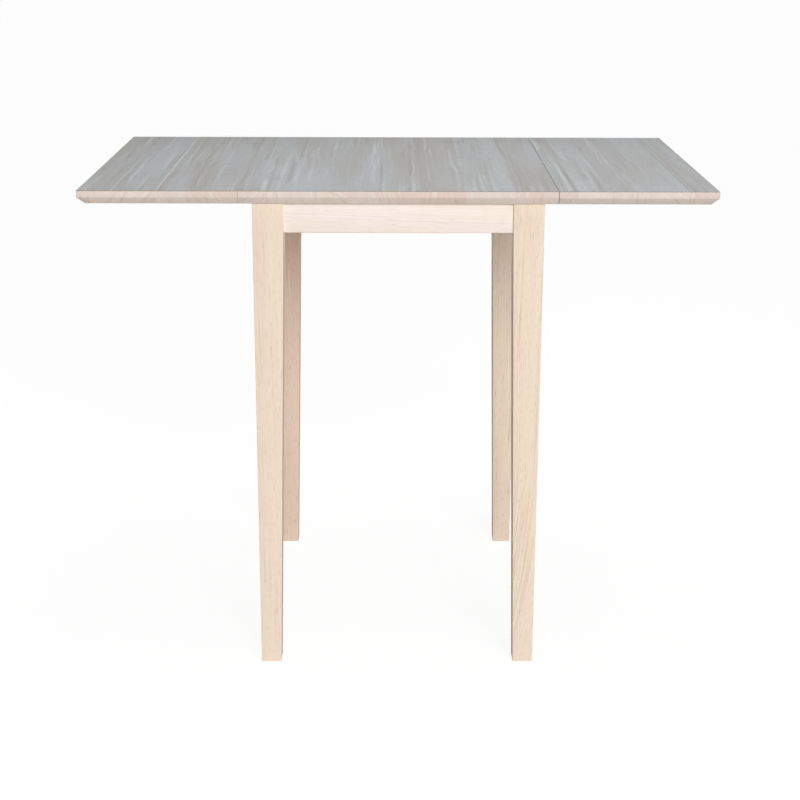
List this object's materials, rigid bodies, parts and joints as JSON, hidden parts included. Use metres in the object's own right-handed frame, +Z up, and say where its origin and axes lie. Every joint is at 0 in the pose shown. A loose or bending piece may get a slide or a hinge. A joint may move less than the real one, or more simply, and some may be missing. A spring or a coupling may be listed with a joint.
{
  "type": "drop-leaf dining table",
  "caption": "Rectangular drop-leaf dining table: fixed centre panel on tapered legs and aprons, with hinged end leaves carried on pull-out wooden slides.",
  "frame": {"origin": "on the floor under the middle of the table", "axes": "+X along the top through both leaves, +Y towards the back, +Z up"},
  "size_m": [0.9144, 0.5588, 0.7366],
  "materials": {
    "top_board": "planed and sanded bare hardwood, greyish",
    "leg_wood": "sanded bare hardwood, cream",
    "apron_wood": "sanded bare hardwood, very pale",
    "inner_wood": "sawn and sanded bare hardwood",
    "hinge_brass": "stamped and rolled plate",
    "zinc_steel": "zinc plated"
  },
  "bodies": {
    "frame": {"centre_top": "top_board", "front_left_leg": "leg_wood", "front_right_leg": "leg_wood", "back_left_leg": "leg_wood", "back_right_leg": "leg_wood", "front_apron": "apron_wood", "back_apron": "apron_wood", "left_apron": "apron_wood", "right_apron": "apron_wood", "front_left_corner_block": "inner_wood", "front_right_corner_block": "inner_wood", "back_left_corner_block": "inner_wood", "back_right_corner_block": "inner_wood", "front_left_leg_bolt": "zinc_steel", "front_right_leg_bolt": "zinc_steel", "back_left_leg_bolt": "zinc_steel", "back_right_leg_bolt": "zinc_steel", "front_left_bolt_washer": "zinc_steel", "front_right_bolt_washer": "zinc_steel", "back_left_bolt_washer": "zinc_steel", "back_right_bolt_washer": "zinc_steel", "front_left_bolt_nut": "zinc_steel", "front_right_bolt_nut": "zinc_steel", "back_left_bolt_nut": "zinc_steel", "back_right_bolt_nut": "zinc_steel", "front_slide_guide": "inner_wood", "back_slide_guide": "inner_wood", "front_left_keeper": "inner_wood", "front_middle_keeper": "inner_wood", "front_right_keeper": "inner_wood", "back_left_keeper": "inner_wood", "back_middle_keeper": "inner_wood", "back_right_keeper": "inner_wood", "left_front_hinge_fixed_plate": "hinge_brass", "left_back_hinge_fixed_plate": "hinge_brass", "right_front_hinge_fixed_plate": "hinge_brass", "right_back_hinge_fixed_plate": "hinge_brass", "left_front_hinge_pin": "zinc_steel", "left_back_hinge_pin": "zinc_steel", "right_front_hinge_pin": "zinc_steel", "right_back_hinge_pin": "zinc_steel"},
    "left_leaf": {"left_leaf": "top_board", "left_front_hinge_leaf_plate": "hinge_brass", "left_back_hinge_leaf_plate": "hinge_brass", "left_front_ramp_block": "inner_wood", "left_back_ramp_block": "inner_wood"},
    "right_leaf": {"right_leaf": "top_board", "right_front_hinge_leaf_plate": "hinge_brass", "right_back_hinge_leaf_plate": "hinge_brass", "right_front_ramp_block": "inner_wood", "right_back_ramp_block": "inner_wood"},
    "left_front_slide": {"left_front_slide": "inner_wood", "left_front_slide_stop": "inner_wood"},
    "left_back_slide": {"left_back_slide": "inner_wood", "left_back_slide_stop": "inner_wood"},
    "right_front_slide": {"right_front_slide": "inner_wood", "right_front_slide_stop": "inner_wood"},
    "right_back_slide": {"right_back_slide": "inner_wood", "right_back_slide_stop": "inner_wood"}
  },
  "joints": [
    {"name": "left_leaf_hinge", "type": "hinge", "parent": "frame", "child": "left_leaf", "pos_m": [-0.2286, 0, 0.7133], "axis": [0, -1, 0], "range_deg": [0, 90]},
    {"name": "right_leaf_hinge", "type": "hinge", "parent": "frame", "child": "right_leaf", "pos_m": [0.2286, 0, 0.7133], "axis": [0, 1, 0], "range_deg": [0, 90]},
    {"name": "left_front_slide_run", "type": "slide", "parent": "frame", "child": "left_front_slide", "axis": [-1, 0, 0], "range_m": [-0.15, 0]},
    {"name": "left_back_slide_run", "type": "slide", "parent": "frame", "child": "left_back_slide", "axis": [-1, 0, 0], "range_m": [-0.15, 0]},
    {"name": "right_front_slide_run", "type": "slide", "parent": "frame", "child": "right_front_slide", "axis": [1, 0, 0], "range_m": [-0.15, 0]},
    {"name": "right_back_slide_run", "type": "slide", "parent": "frame", "child": "right_back_slide", "axis": [1, 0, 0], "range_m": [-0.15, 0]}
  ],
  "couplings": [
    {"joint": "left_front_slide_run", "follows": "left_leaf_hinge", "m_per_rad": -0.09549},
    {"joint": "left_back_slide_run", "follows": "left_leaf_hinge", "m_per_rad": -0.09549},
    {"joint": "right_front_slide_run", "follows": "right_leaf_hinge", "m_per_rad": -0.09549},
    {"joint": "right_back_slide_run", "follows": "right_leaf_hinge", "m_per_rad": -0.09549}
  ]
}
